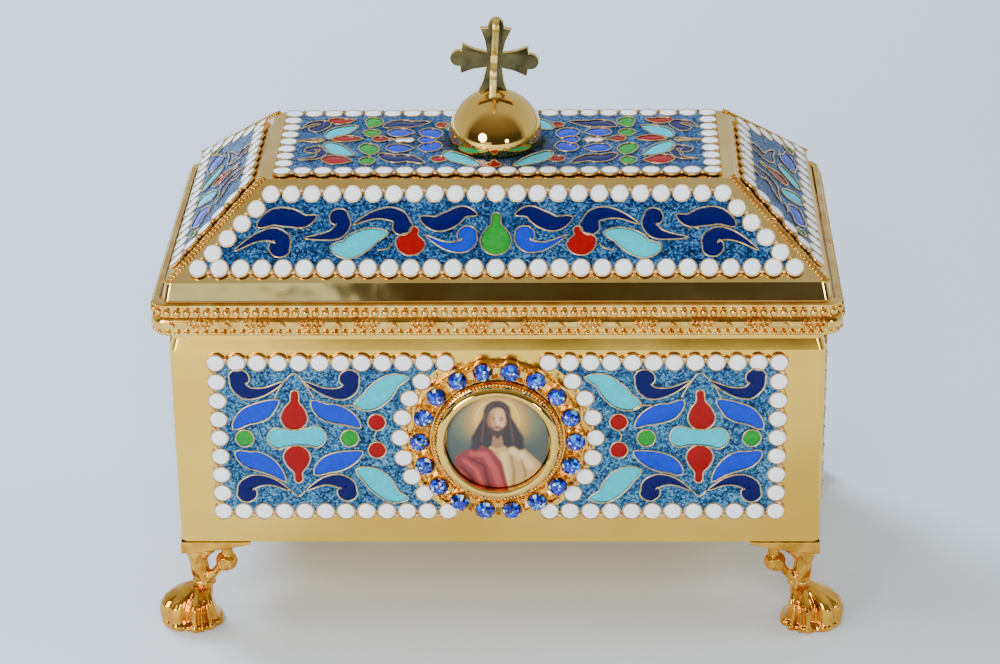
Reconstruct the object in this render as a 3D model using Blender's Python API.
"""Reliquary casket with enamelled panels, a lift-off hipped lid, a knob with a cross and four paw feet.

The origin is on the ground under the middle of the casket. +Z is up and the medallion faces -Y.
Every piece is its own object. Neighbouring pieces keep a clearance of GAP.
"""
import math

import bmesh
import bpy
from mathutils import Matrix, Vector

MM = 0.001

# Clearances, and the distance at which points are welded
GAP = 0.3 * MM
LID_FIT = 0.5 * MM
WELD = 0.01 * MM

# Box
BODY_LENGTH = 160.0 * MM
BODY_DEPTH = 85.6 * MM
BODY_HEIGHT = 64.8 * MM
BODY_WALL = 1.0 * MM
BODY_FLOOR = 1.0 * MM
CORNER_RADIUS = 1.8 * MM
BOTTOM_EDGE = 0.4 * MM

# Lid
LID_WALL = 1.0 * MM
LID_SKIRT = 6.0 * MM
LID_LEDGE = 0.8 * MM
SHOULDER_HEIGHT = 1.4 * MM
SHOULDER_DROP = 0.3 * MM
FASCIA_HEIGHT = 6.1 * MM
FASCIA_FLARE = 0.9 * MM
LID_RISE = 18.8 * MM
LID_INSET_X = 22.0 * MM
LID_INSET_Y = 20.3 * MM

# Moulded strip round the edge of the lid
RIM_HEIGHT = 8.4 * MM
RIM_THICKNESS = 2.5 * MM
RIM_FOOT = 1.7 * MM
RIM_HEAD = 0.9 * MM
RIM_OVERHANG = 0.56 * MM
RIM_STEPS = 5

# Enamelled panels
PANEL_THICKNESS = 1.0 * MM
DOT_PITCH = 5.05 * MM
CUP_RADIUS = 2.4 * MM
SCALLOP_VALLEY = 1.3 * MM
SIDE_MARGIN = 10.8 * MM
ROW_SPACING = 41.5 * MM
PANEL_HEIGHT = 29.3 * MM
MEDALLION_DOT_CIRCLE = 24.0 * MM
MEDALLION_DOT_SPAN = math.radians(40.0)
MEDALLION_DOTS = 7
ROW_END = 12.6 * MM
SLOPE_FOOT_MARGIN = 3.6 * MM
SLOPE_HEAD_MARGIN = 4.4 * MM
HIP_MARGIN_FOOT = 5.2 * MM
HIP_MARGIN_HEAD = 6.5 * MM
TOP_MARGIN_X = 5.2 * MM
TOP_MARGIN_Y = 3.2 * MM
SHARP_TURN = math.radians(30.0)

# Medallion
SETTING_RADIUS = 21.0 * MM
SETTING_EDGE = 0.9 * MM
SETTING_HEIGHT = 2.4 * MM
BEZEL_RADIUS = 16.1 * MM
BEZEL_WIDTH = 3.2 * MM
BEZEL_HEIGHT = 4.6 * MM
BEZEL_SHOULDER = 3.2 * MM
PICTURE_EDGE = 2.6 * MM
PICTURE_DOME = 1.1 * MM
PICTURE_RINGS = 3
STONE_COUNT = 18
STONE_CIRCLE = 19.2 * MM
STONE_RADIUS = 2.35 * MM
STONE_TABLE = 1.3 * MM
STONE_HEIGHT = 1.7 * MM
STONE_FACETS = 8
TURNED_STEPS = 32

# Knob and cross
KNOB_RADIUS = 11.7 * MM
KNOB_CUT = 2.4 * MM
KNOB_OFFSET = -0.8 * MM
KNOB_STEPS = 24
KNOB_RINGS = 8
CROSS_THICKNESS = 1.7 * MM
CROSS_CENTRE = 8.5 * MM
CROSS_LEAN = math.radians(3.2)
ARM_ROOT = 2.4 * MM
ARM_LENGTH = 8.2 * MM
ARM_TIP = 3.85 * MM
LOWER_ARM_LENGTH = 8.9 * MM
LOBE_RADIUS = 2.0 * MM
LOBE_REACH = 2.8 * MM
LOBE_STEPS = 3

# Feet, measured from the corner of the box
FOOT_HEIGHT = 23.9 * MM
WING_LENGTH = 17.5 * MM
WING_DEPTH = 3.1 * MM
WING_TIP_DEPTH = 0.5 * MM
WING_THICKNESS = 2.0 * MM
WING_STEPS = 4
WING_CURVE = 1.6
FLANGE_LENGTH = 12.0 * MM
FLANGE_THICKNESS = 1.0 * MM
VOLUTE_RADIUS = 2.9 * MM
VOLUTE_ALONG = 12.2 * MM
VOLUTE_IN = 2.3 * MM
VOLUTE_DROP = 6.7 * MM
STRAP_RADIUS = 1.3 * MM
STRAP_SIDES = 6
STRAP_BOW = 0.7 * MM
PAW_CENTRE = 2.2 * MM
PAW_TOE = 9.8 * MM
PAW_SIDE = 8.6 * MM
PAW_HEEL = 8.8 * MM
PAW_HEIGHT = 10.0 * MM
ANKLE_CENTRE = 4.6 * MM
ANKLE_RADIUS = 2.6 * MM
ANKLE_HEIGHT = 11.3 * MM
LEG_CENTRE = 3.4 * MM
LEG_RADIUS = 2.5 * MM
LEG_TOP_RADIUS = 2.75 * MM
LEG_SIDES = 12
CORNER_STEPS = 3

# Heights and half sizes that follow
BODY_BOTTOM = FOOT_HEIGHT + GAP
BODY_TOP = BODY_BOTTOM + BODY_HEIGHT
LEDGE_HEIGHT = BODY_TOP + GAP
SKIRT_BOTTOM = LEDGE_HEIGHT - LID_SKIRT
SLOPE_FOOT = LEDGE_HEIGHT + FASCIA_HEIGHT
LID_TOP = SLOPE_FOOT + LID_RISE
HALF_X = BODY_LENGTH / 2
HALF_Y = BODY_DEPTH / 2
TOP_HALF_X = HALF_X - LID_INSET_X
TOP_HALF_Y = HALF_Y - LID_INSET_Y
PANEL_CENTRE = BODY_BOTTOM + PANEL_HEIGHT


def clear_scene():
    """Start from an empty scene."""
    for old in list(bpy.data.objects):
        bpy.data.objects.remove(old, do_unlink=True)


def make_material(name, colour, roughness, metallic):
    """Return a plain material with a Principled BSDF."""
    material = bpy.data.materials.new(name)
    material.use_nodes = True
    shader = material.node_tree.nodes["Principled BSDF"]
    shader.inputs["Base Color"].default_value = (*colour, 1.0)
    shader.inputs["Roughness"].default_value = roughness
    shader.inputs["Metallic"].default_value = metallic
    return material


def add_object(name, mesh, material):
    """Link one piece to the scene under its node name."""
    piece = bpy.data.objects.new(name, mesh)
    mesh.materials.clear()
    mesh.materials.append(material)
    bpy.context.scene.collection.objects.link(piece)
    return piece


def finish_mesh(bm, name, smooth=False):
    """Turn a bmesh with outward faces into a mesh."""
    bmesh.ops.recalc_face_normals(bm, faces=bm.faces)
    mesh = bpy.data.meshes.new(name)
    bm.to_mesh(mesh)
    bm.free()
    if smooth:
        mesh.shade_smooth()
        mesh.set_sharp_from_angle(angle=math.radians(35.0))
    return mesh


def grow_ring(bm, ring, points):
    """Extrude a closed ring of edges and move its new vertices to the points, in their order."""
    verts, edges = ring
    made = bmesh.ops.extrude_edge_only(bm, edges=edges)["geom"]
    fresh = {item for item in made if isinstance(item, bmesh.types.BMVert)}
    grown = [next(edge.other_vert(vert) for edge in vert.link_edges if edge.other_vert(vert) in fresh)
             for vert in verts]
    for vert, point in zip(grown, points):
        vert.co = point
    return grown, [bm.edges.get(pair) for pair in zip(grown, grown[1:] + grown[:1])]


def loft(bm, sections, closed=False):
    """Join sections of equal length, and cap the two ends unless the last section meets the first."""
    verts = [bm.verts.new(point) for point in sections[0]]
    ring = (verts, [bm.edges.new(pair) for pair in zip(verts, verts[1:] + verts[:1])])
    ends = [ring[1]]
    for points in sections[1:] + (sections[:1] if closed else []):
        ring = grow_ring(bm, ring, points)
    ends.append(ring[1])
    if not closed:
        for edges in ends:
            bmesh.ops.edgeloop_fill(bm, edges=edges)
    bmesh.ops.remove_doubles(bm, verts=bm.verts, dist=WELD)


def rounded_rectangle(half_x, half_y, radius, height):
    """Return points round a rectangle with rounded corners, at one height."""
    points = []
    for quarter in range(4):
        sign_x = 1 if quarter in (0, 3) else -1
        sign_y = 1 if quarter in (0, 1) else -1
        for step in range(CORNER_STEPS + 1):
            angle = math.radians(90.0) * (quarter + step / CORNER_STEPS)
            x = sign_x * (half_x - radius) + radius * math.cos(angle)
            y = sign_y * (half_y - radius) + radius * math.sin(angle)
            points.append(Vector((x, y, height)))
    return points


def box_section(offset, height, inset=(0.0, 0.0)):
    """Return a rounded section that stands off the faces of the box by offset, less an inset."""
    half_x = HALF_X + offset - inset[0]
    half_y = HALF_Y + offset - inset[1]
    radius = max(CORNER_RADIUS + offset, CORNER_RADIUS / 4)
    return rounded_rectangle(half_x, half_y, radius, height)


def make_body(material):
    """Make the open box: sheet walls and a floor."""
    bm = bmesh.new()
    loft(bm, [
        box_section(-BOTTOM_EDGE, BODY_BOTTOM),
        box_section(0.0, BODY_BOTTOM + BOTTOM_EDGE),
        box_section(0.0, BODY_TOP),
        box_section(-BODY_WALL, BODY_TOP),
        box_section(-BODY_WALL, BODY_BOTTOM + BODY_FLOOR),
    ])
    return add_object("body", finish_mesh(bm, "body"), material)


def inner_inset(inset):
    """Return how far the inside of a slope has come in where it meets the inside of the top plate."""
    slope = math.atan2(LID_RISE, inset)
    return inset * (1.0 - LID_WALL / LID_RISE) + LID_WALL / math.sin(slope)


def make_lid(material):
    """Make the hipped lid: a skirt outside the box, a ledge on its edge, a fascia, four slopes and a top."""
    skirt_inside = LID_FIT
    skirt_outside = LID_FIT + LID_WALL
    shoulder = LEDGE_HEIGHT + SHOULDER_HEIGHT
    inner_top = (inner_inset(LID_INSET_X), inner_inset(LID_INSET_Y))
    inner_drop = (LID_WALL / math.sin(math.atan2(LID_RISE, LID_INSET_Y)) - LID_WALL) * LID_RISE / LID_INSET_Y
    bm = bmesh.new()
    loft(bm, [
        box_section(0.0, LID_TOP, (LID_INSET_X, LID_INSET_Y)),
        box_section(0.0, SLOPE_FOOT),
        box_section(FASCIA_FLARE, shoulder + SHOULDER_DROP),
        box_section(skirt_outside, shoulder),
        box_section(skirt_outside, SKIRT_BOTTOM),
        box_section(skirt_inside, SKIRT_BOTTOM),
        box_section(skirt_inside, LEDGE_HEIGHT),
        box_section(-LID_LEDGE, LEDGE_HEIGHT),
        box_section(-LID_WALL, SLOPE_FOOT - inner_drop),
        box_section(0.0, LID_TOP - LID_WALL, inner_top),
    ])
    return add_object("lid", finish_mesh(bm, "lid"), material)


def make_rim(material):
    """Make the moulded strip: a flat back against the skirt and a rounded front."""
    back = LID_FIT + LID_WALL + GAP
    bottom = SKIRT_BOTTOM - RIM_OVERHANG
    bm = bmesh.new()
    sections = [box_section(back, bottom + RIM_HEIGHT), box_section(back, bottom)]
    for step in range(RIM_STEPS + 1):
        share = step / RIM_STEPS
        straight = RIM_FOOT + (RIM_HEAD - RIM_FOOT) * share
        bulge = (RIM_THICKNESS - (RIM_FOOT + RIM_HEAD) / 2) * math.sin(math.pi * share)
        sections.append(box_section(back + straight + bulge, bottom + RIM_HEIGHT * share))
    loft(bm, sections, closed=True)
    return add_object("lid_rim", finish_mesh(bm, "lid_rim"), material)


def divided(start, end, pitch):
    """Return points from start up to, but without, end, spaced as near to the pitch as fits."""
    count = max(1, round((end - start).length / pitch))
    return [start.lerp(end, step / count) for step in range(count)]


def polygon_dots(corners):
    """Return the centres of the dots round a polygon, counter-clockwise."""
    dots = []
    for start, end in zip(corners, corners[1:] + corners[:1]):
        dots += divided(start, end, DOT_PITCH)
    return dots


def trapezium_dots(low_half, high_half, low, high):
    """Return the centres of the dots round an upright trapezium."""
    return polygon_dots([
        Vector((-low_half, low)),
        Vector((low_half, low)),
        Vector((high_half, high)),
        Vector((-high_half, high)),
    ])


def front_dots():
    """Return the centres of the dots round the right front panel, whose left end follows the medallion."""
    high = ROW_SPACING / 2
    column = HALF_X - SIDE_MARGIN
    dots = divided(Vector((ROW_END, -high)), Vector((column, -high)), DOT_PITCH)
    dots += divided(Vector((column, -high)), Vector((column, high)), DOT_PITCH)
    dots += divided(Vector((column, high)), Vector((ROW_END, high)), DOT_PITCH)
    dots.append(Vector((ROW_END, high)))
    for step in range(MEDALLION_DOTS):
        angle = MEDALLION_DOT_SPAN * (1.0 - 2.0 * step / (MEDALLION_DOTS - 1))
        dots.append(Vector((math.cos(angle), math.sin(angle))) * MEDALLION_DOT_CIRCLE)
    return dots


def outward(start, end):
    """Return the outward side of an edge of a counter-clockwise outline."""
    along = (end - start).normalized()
    return Vector((along.y, -along.x))


def scalloped_outline(dots):
    """Return an outline with one lobe round each dot."""
    outline = []
    count = len(dots)
    for index, dot in enumerate(dots):
        before = outward(dots[index - 1], dot)
        after = outward(dot, dots[(index + 1) % count])
        middle = (before + after).normalized()
        crests = [middle]
        if before.angle(after) > SHARP_TURN:
            crests = [before.lerp(middle, 0.5).normalized(), middle, after.lerp(middle, 0.5).normalized()]
        outline += [dot + crest * CUP_RADIUS for crest in crests]
        outline.append(dot.lerp(dots[(index + 1) % count], 0.5) + after * SCALLOP_VALLEY)
    return outline


def plate_mesh(name, outline, thickness):
    """Extrude a flat outline to a plate that rises from local z 0."""
    bm = bmesh.new()
    loft(bm, [[point.to_3d() + Vector((0.0, 0.0, rise)) for point in outline] for rise in (0.0, thickness)])
    return finish_mesh(bm, name)


def add_panel(name, dots, material, place):
    """Add one enamelled panel, set by the matrix of the surface that it lies on."""
    panel = add_object(name, plate_mesh(name, scalloped_outline(dots), PANEL_THICKNESS), material)
    panel.matrix_world = place @ Matrix.Translation((0.0, 0.0, GAP))
    return panel


def wall_place(turn, distance, height):
    """Return the frame of an upright wall: local y is up and local z points out of it."""
    upright = Matrix.Rotation(math.radians(90.0), 4, "X")
    out = Matrix.Translation((0.0, -distance, height))
    return Matrix.Rotation(math.radians(turn), 4, "Z") @ out @ upright


def slope_place(turn, distance, inset):
    """Return the frame of a slope of the lid: local y climbs it from its foot."""
    tilt = Matrix.Rotation(math.atan2(LID_RISE, inset), 4, "X")
    out = Matrix.Translation((0.0, -distance, SLOPE_FOOT))
    return Matrix.Rotation(math.radians(turn), 4, "Z") @ out @ tilt


def make_wall_panels(material):
    """Make two panels beside the medallion, and one on each of the other walls."""
    high = ROW_SPACING / 2
    front = wall_place(0.0, HALF_Y, PANEL_CENTRE)
    right = front_dots()
    left = [Vector((-dot.x, dot.y)) for dot in reversed(right)]
    add_panel("panel_front_right", right, material, front)
    add_panel("panel_front_left", left, material, front)
    for name, turn, distance, half in (
        ("panel_right", 90.0, HALF_X, HALF_Y),
        ("panel_back", 180.0, HALF_Y, HALF_X),
        ("panel_left", 270.0, HALF_X, HALF_Y),
    ):
        half_row = half - SIDE_MARGIN
        dots = trapezium_dots(half_row, half_row, -high, high)
        add_panel(name, dots, material, wall_place(turn, distance, PANEL_CENTRE))


def slope_dots(half, inset):
    """Return the dots of a panel on a slope that is half wide at its foot and narrows by the inset."""
    length = math.hypot(LID_RISE, inset)
    low = SLOPE_FOOT_MARGIN
    high = length - SLOPE_HEAD_MARGIN
    hip_x = LID_INSET_X + LID_INSET_Y - inset
    low_half = half - hip_x * low / length - HIP_MARGIN_FOOT
    high_half = half - hip_x * high / length - HIP_MARGIN_HEAD
    return trapezium_dots(low_half, high_half, low, high)


def make_lid_panels(material):
    """Make the panels on the four slopes, and the top panel with a round hole for the knob."""
    for name, turn, distance, half, inset in (
        ("lid_panel_front", 0.0, HALF_Y, HALF_X, LID_INSET_Y),
        ("lid_panel_right", 90.0, HALF_X, HALF_Y, LID_INSET_X),
        ("lid_panel_back", 180.0, HALF_Y, HALF_X, LID_INSET_Y),
        ("lid_panel_left", 270.0, HALF_X, HALF_Y, LID_INSET_X),
    ):
        add_panel(name, slope_dots(half, inset), material, slope_place(turn, distance, inset))
    half_row = TOP_HALF_X - TOP_MARGIN_X
    half_column = TOP_HALF_Y - TOP_MARGIN_Y
    dots = trapezium_dots(half_row, half_row, -half_column, half_column)
    top = add_panel("lid_panel_top", dots, material, Matrix.Translation((0.0, 0.0, LID_TOP)))
    cut_knob_hole(top)


def cut_knob_hole(panel):
    """Cut the knob's seat through the top panel."""
    bm = bmesh.new()
    radius = knob_base_radius() + GAP
    deep = PANEL_THICKNESS * 4
    bmesh.ops.create_cone(bm, cap_ends=True, segments=KNOB_STEPS, radius1=radius, radius2=radius, depth=deep)
    cutter = add_object("knob_hole_cutter", finish_mesh(bm, "knob_hole_cutter"), panel.data.materials[0])
    cutter.location = (KNOB_OFFSET, 0.0, LID_TOP)
    subtract(panel, cutter)


def subtract(piece, cutter):
    """Cut one object with another, which stays as a hidden guide."""
    cut = piece.modifiers.new(cutter.name, "BOOLEAN")
    cut.operation = "DIFFERENCE"
    cut.object = cutter
    cutter.hide_render = True
    cutter.display_type = "WIRE"


def turned_mesh(name, profile, steps):
    """Spin a profile of (radius, height) points, whose ends are on the axis or meet, once round local z."""
    bm = bmesh.new()
    verts = [bm.verts.new((radius, 0.0, height)) for radius, height in profile]
    edges = [bm.edges.new(pair) for pair in zip(verts, verts[1:])]
    bmesh.ops.spin(bm, geom=verts + edges, axis=(0.0, 0.0, 1.0), cent=(0.0, 0.0, 0.0),
                   angle=math.tau, steps=steps, use_merge=True)
    bmesh.ops.remove_doubles(bm, verts=bm.verts, dist=WELD)
    return finish_mesh(bm, name, smooth=True)


def make_medallion(gold, picture, blue):
    """Make the setting, the bezel, the domed plaque and the ring of stones."""
    place = wall_place(0.0, HALF_Y, PANEL_CENTRE) @ Matrix.Translation((0.0, 0.0, GAP))
    inside = BEZEL_RADIUS + GAP
    setting = [
        (inside, 0.0),
        (SETTING_RADIUS, 0.0),
        (SETTING_RADIUS, SETTING_EDGE),
        (STONE_CIRCLE, SETTING_HEIGHT),
        (inside, SETTING_HEIGHT),
        (inside, 0.0),
    ]
    hole = BEZEL_RADIUS - BEZEL_WIDTH
    bezel = [
        (hole, 0.0),
        (BEZEL_RADIUS, 0.0),
        (BEZEL_RADIUS, BEZEL_SHOULDER),
        (BEZEL_RADIUS - BEZEL_WIDTH / 2, BEZEL_HEIGHT),
        (hole, BEZEL_SHOULDER),
        (hole, 0.0),
    ]
    rim = hole - GAP
    plaque = [(0.0, 0.0), (rim, 0.0), (rim, PICTURE_EDGE)]
    for ring in range(PICTURE_RINGS - 1, -1, -1):
        share = ring / PICTURE_RINGS
        plaque.append((rim * share, PICTURE_EDGE + PICTURE_DOME * (1.0 - share ** 2)))
    for name, profile, material in (
        ("medallion_setting", setting, gold),
        ("medallion_bezel", bezel, gold),
        ("medallion_picture", plaque, picture),
    ):
        piece = add_object(name, turned_mesh(name, profile, TURNED_STEPS), material)
        piece.matrix_world = place
    make_stones(blue, place)


def make_stones(material, place):
    """Set the cut stones on the setting, one every equal turn."""
    bm = bmesh.new()
    lift = SETTING_HEIGHT + GAP + STONE_HEIGHT / 2
    bmesh.ops.create_cone(bm, cap_ends=True, segments=STONE_FACETS, radius1=STONE_RADIUS,
                          radius2=STONE_TABLE, depth=STONE_HEIGHT,
                          matrix=Matrix.Translation((STONE_CIRCLE, 0.0, lift)))
    mesh = finish_mesh(bm, "stone")
    for index in range(STONE_COUNT):
        stone = add_object(f"stone_{index + 1:02d}", mesh, material)
        stone.matrix_world = place @ Matrix.Rotation(math.tau * index / STONE_COUNT, 4, "Z")


def knob_base_radius():
    """Return the radius of the flat under the knob."""
    return math.sqrt(KNOB_RADIUS ** 2 - KNOB_CUT ** 2)


def make_knob(material):
    """Make the turned knob: a ball cut flat below its middle, on the top of the lid."""
    start = math.atan2(-KNOB_CUT, knob_base_radius())
    profile = [(0.0, -KNOB_CUT)]
    for step in range(KNOB_RINGS + 1):
        angle = start + (math.radians(90.0) - start) * step / KNOB_RINGS
        profile.append((KNOB_RADIUS * math.cos(angle), KNOB_RADIUS * math.sin(angle)))
    knob = add_object("finial_dome", turned_mesh("finial_dome", profile, KNOB_STEPS), material)
    knob.location = (KNOB_OFFSET, 0.0, LID_TOP + GAP + KNOB_CUT)
    return knob


def arm_outline(turn, length):
    """Return the outline of one flared arm with a round lobe at its end, from notch to notch."""
    points = [Vector((ARM_ROOT, -ARM_ROOT)), Vector((length, -ARM_TIP))]
    reach = LOBE_REACH - LOBE_RADIUS
    points.append(Vector((length, -LOBE_RADIUS)))
    for step in range(LOBE_STEPS + 1):
        angle = math.pi * (step / LOBE_STEPS - 0.5)
        points.append(Vector((length + reach + LOBE_RADIUS * math.cos(angle), LOBE_RADIUS * math.sin(angle))))
    points.append(Vector((length, LOBE_RADIUS)))
    points.append(Vector((length, ARM_TIP)))
    spin = Matrix.Rotation(math.radians(turn), 2)
    return [spin @ point for point in points]


def make_cross(material, knob):
    """Make the cross: two flared plates that pass through each other, seated on the knob."""
    outline = arm_outline(0.0, ARM_LENGTH) + arm_outline(90.0, ARM_LENGTH)
    outline += arm_outline(180.0, ARM_LENGTH) + arm_outline(270.0, LOWER_ARM_LENGTH)
    upright = Matrix.Rotation(math.radians(90.0), 4, "X") @ Matrix.Translation((0.0, 0.0, -CROSS_THICKNESS / 2))
    across = plate_mesh("cross_across", outline, CROSS_THICKNESS)
    across.transform(upright)
    along = across.copy()
    along.transform(Matrix.Rotation(math.radians(90.0), 4, "Z"))
    cross = add_object("finial_cross", fused([across, along]), material)
    centre = knob.location.z + KNOB_RADIUS + CROSS_CENTRE
    cross.matrix_world = Matrix.Translation((KNOB_OFFSET, 0.0, centre)) @ Matrix.Rotation(CROSS_LEAN, 4, "Y")
    bm = bmesh.new()
    bmesh.ops.create_uvsphere(bm, u_segments=KNOB_STEPS, v_segments=KNOB_RINGS, radius=KNOB_RADIUS + GAP)
    cutter = add_object("cross_seat_cutter", finish_mesh(bm, "cross_seat_cutter"), material)
    cutter.location = knob.location
    subtract(cross, cutter)
    return cross


def fused(meshes):
    """Join overlapping meshes into one closed mesh with Boolean unions."""
    parts = [bpy.data.objects.new(mesh.name, mesh) for mesh in meshes]
    for part in parts:
        bpy.context.scene.collection.objects.link(part)
    for other in parts[1:]:
        union = parts[0].modifiers.new(other.name, "BOOLEAN")
        union.operation = "UNION"
        union.object = other
    graph = bpy.context.evaluated_depsgraph_get()
    result = bpy.data.meshes.new_from_object(parts[0].evaluated_get(graph))
    for part in parts:
        bpy.data.objects.remove(part, do_unlink=True)
    return result


def wing_depth(along):
    """Return how far the bracket hangs below the box at a distance from its corner."""
    share = min(1.0, along / WING_LENGTH)
    return WING_TIP_DEPTH + (WING_DEPTH - WING_TIP_DEPTH) * (1.0 - share ** WING_CURVE)


def bracket_mesh():
    """Make the corner bracket: two tapering wings flush with the faces of the box."""
    inner = max(CORNER_RADIUS, WING_THICKNESS)
    steps = [inner + (WING_LENGTH - inner) * (1.0 - step / WING_STEPS) for step in range(WING_STEPS + 1)]
    elbow = Vector((inner, inner))
    stations = [(Vector((along, 0.0)), Vector((along, inner))) for along in steps]
    for step in range(CORNER_STEPS + 1):
        angle = math.radians(270.0 - 90.0 * step / CORNER_STEPS)
        spoke = Vector((math.cos(angle), math.sin(angle))) * CORNER_RADIUS
        stations.append((Vector((CORNER_RADIUS, CORNER_RADIUS)) + spoke, elbow))
    stations += [(Vector((0.0, along)), Vector((inner, along))) for along in reversed(steps)]
    sections = []
    for outer, inside in stations:
        low = FOOT_HEIGHT - wing_depth(max(outer.x, outer.y, inner))
        sections.append([
            Vector((outer.x, outer.y, FOOT_HEIGHT)),
            Vector((inside.x, inside.y, FOOT_HEIGHT)),
            Vector((inside.x, inside.y, low)),
            Vector((outer.x, outer.y, low)),
        ])
    bm = bmesh.new()
    loft(bm, sections)
    return finish_mesh(bm, "bracket")


def flange_mesh():
    """Make the flat plate under the floor of the box that carries the leg."""
    near = WING_THICKNESS / 2
    corners = [Vector((near, near)), Vector((FLANGE_LENGTH, near)), Vector((near, FLANGE_LENGTH))]
    flange = plate_mesh("flange", corners, FLANGE_THICKNESS)
    flange.transform(Matrix.Translation((0.0, 0.0, FOOT_HEIGHT - FLANGE_THICKNESS)))
    return flange


def leg_section(centre, toe, side, heel, height):
    """Return a section of the leg, longest towards the toe, which points out along the diagonal."""
    points = []
    for step in range(LEG_SIDES):
        angle = math.tau * step / LEG_SIDES
        forward = math.cos(angle)
        sideways = math.sin(angle)
        length = toe if forward > 0 else heel
        out = Vector((-1.0, -1.0)).normalized() * forward * length
        across = Vector((1.0, -1.0)).normalized() * sideways * side
        points.append((out + across + Vector((centre, centre))).to_3d() + Vector((0.0, 0.0, height)))
    return points


def leg_mesh():
    """Make the leg: a paw with a flat sole, an ankle and a shank that rises into the bracket."""
    bm = bmesh.new()
    sections = []
    for share, toe, side, heel, drift in (
        (0.0, 0.96, 0.96, 0.97, 0.0),
        (0.08, 1.0, 1.0, 1.0, 0.0),
        (0.28, 0.99, 0.95, 0.84, 0.0),
        (0.55, 0.93, 0.86, 0.66, 0.05),
        (0.78, 0.76, 0.68, 0.5, 0.2),
        (0.92, 0.54, 0.48, 0.4, 0.5),
    ):
        centre = PAW_CENTRE + (ANKLE_CENTRE - PAW_CENTRE) * drift
        height = PAW_HEIGHT * share
        sections.append(leg_section(centre, PAW_TOE * toe, PAW_SIDE * side, PAW_HEEL * heel, height))
    for centre, radius, height in (
        (ANKLE_CENTRE, ANKLE_RADIUS, ANKLE_HEIGHT),
        ((ANKLE_CENTRE + LEG_CENTRE) / 2, LEG_RADIUS, (ANKLE_HEIGHT + FOOT_HEIGHT) / 2),
        (LEG_CENTRE, LEG_TOP_RADIUS, FOOT_HEIGHT - WING_DEPTH),
        (LEG_CENTRE, LEG_TOP_RADIUS, FOOT_HEIGHT - FLANGE_THICKNESS / 2),
    ):
        sections.append(leg_section(centre, radius, radius, radius, height))
    loft(bm, sections)
    return finish_mesh(bm, "leg")


def strap_mesh(points, radius):
    """Make a strap: a tube with a few sides through the points."""
    sections = []
    for index, point in enumerate(points):
        before = points[max(index - 1, 0)]
        after = points[min(index + 1, len(points) - 1)]
        turn = (after - before).to_track_quat("Z", "Y")
        circle = [Vector((math.cos(a), math.sin(a), 0.0)) * radius
                  for a in (math.tau * side / STRAP_SIDES for side in range(STRAP_SIDES))]
        sections.append([point + turn @ spoke for spoke in circle])
    bm = bmesh.new()
    loft(bm, sections)
    return finish_mesh(bm, "strap")


def volute_meshes():
    """Make one ball with the strap that runs from the bracket, round the ball and down to the ankle."""
    centre = Vector((VOLUTE_ALONG, VOLUTE_IN, FOOT_HEIGHT - VOLUTE_DROP))
    bm = bmesh.new()
    bmesh.ops.create_icosphere(bm, subdivisions=2, radius=VOLUTE_RADIUS, matrix=Matrix.Translation(centre))
    ball = finish_mesh(bm, "ball")
    ankle = Vector((ANKLE_CENTRE, ANKLE_CENTRE, ANKLE_HEIGHT))
    node = centre.lerp(ankle, 0.5) - Vector((0.0, STRAP_BOW, 0.0))
    lower = strap_mesh([centre, node, ankle], STRAP_RADIUS)
    root = Vector((centre.x + STRAP_RADIUS, WING_THICKNESS, 0.0))
    low = root + Vector((0.0, 0.0, centre.z))
    high = root + Vector((0.0, 0.0, FOOT_HEIGHT - WING_TIP_DEPTH))
    return [ball, lower, strap_mesh([low, high], STRAP_RADIUS)]


def make_feet(material):
    """Make the four feet from one casting, turned to each corner."""
    swap = Matrix(((0.0, 1.0, 0.0, 0.0), (1.0, 0.0, 0.0, 0.0), (0.0, 0.0, 1.0, 0.0), (0.0, 0.0, 0.0, 1.0)))
    parts = [leg_mesh(), bracket_mesh(), flange_mesh()]
    for mesh in volute_meshes():
        other = mesh.copy()
        other.transform(swap)
        other.flip_normals()
        parts += [mesh, other]
    foot = fused(parts)
    foot.shade_smooth()
    foot.set_sharp_from_angle(angle=math.radians(35.0))
    for name, turn, x, y in (
        ("foot_front_left", 0.0, -HALF_X, -HALF_Y),
        ("foot_front_right", 90.0, HALF_X, -HALF_Y),
        ("foot_back_right", 180.0, HALF_X, HALF_Y),
        ("foot_back_left", 270.0, -HALF_X, HALF_Y),
    ):
        piece = add_object(name, foot, material)
        piece.location = (x, y, 0.0)
        piece.rotation_euler.z = math.radians(turn)


def main():
    """Make every piece of the casket."""
    clear_scene()
    gold = make_material("gold plate", (0.83, 0.6, 0.26), 0.22, 1.0)
    enamel = make_material("cloisonne enamel", (0.03, 0.1, 0.45), 0.3, 0.0)
    picture = make_material("picture plaque", (0.35, 0.3, 0.22), 0.35, 0.0)
    blue = make_material("blue stone", (0.01, 0.08, 0.75), 0.1, 0.0)
    make_body(gold)
    make_lid(gold)
    make_rim(gold)
    make_wall_panels(enamel)
    make_lid_panels(enamel)
    make_medallion(gold, picture, blue)
    make_cross(gold, make_knob(gold))
    make_feet(gold)


main()
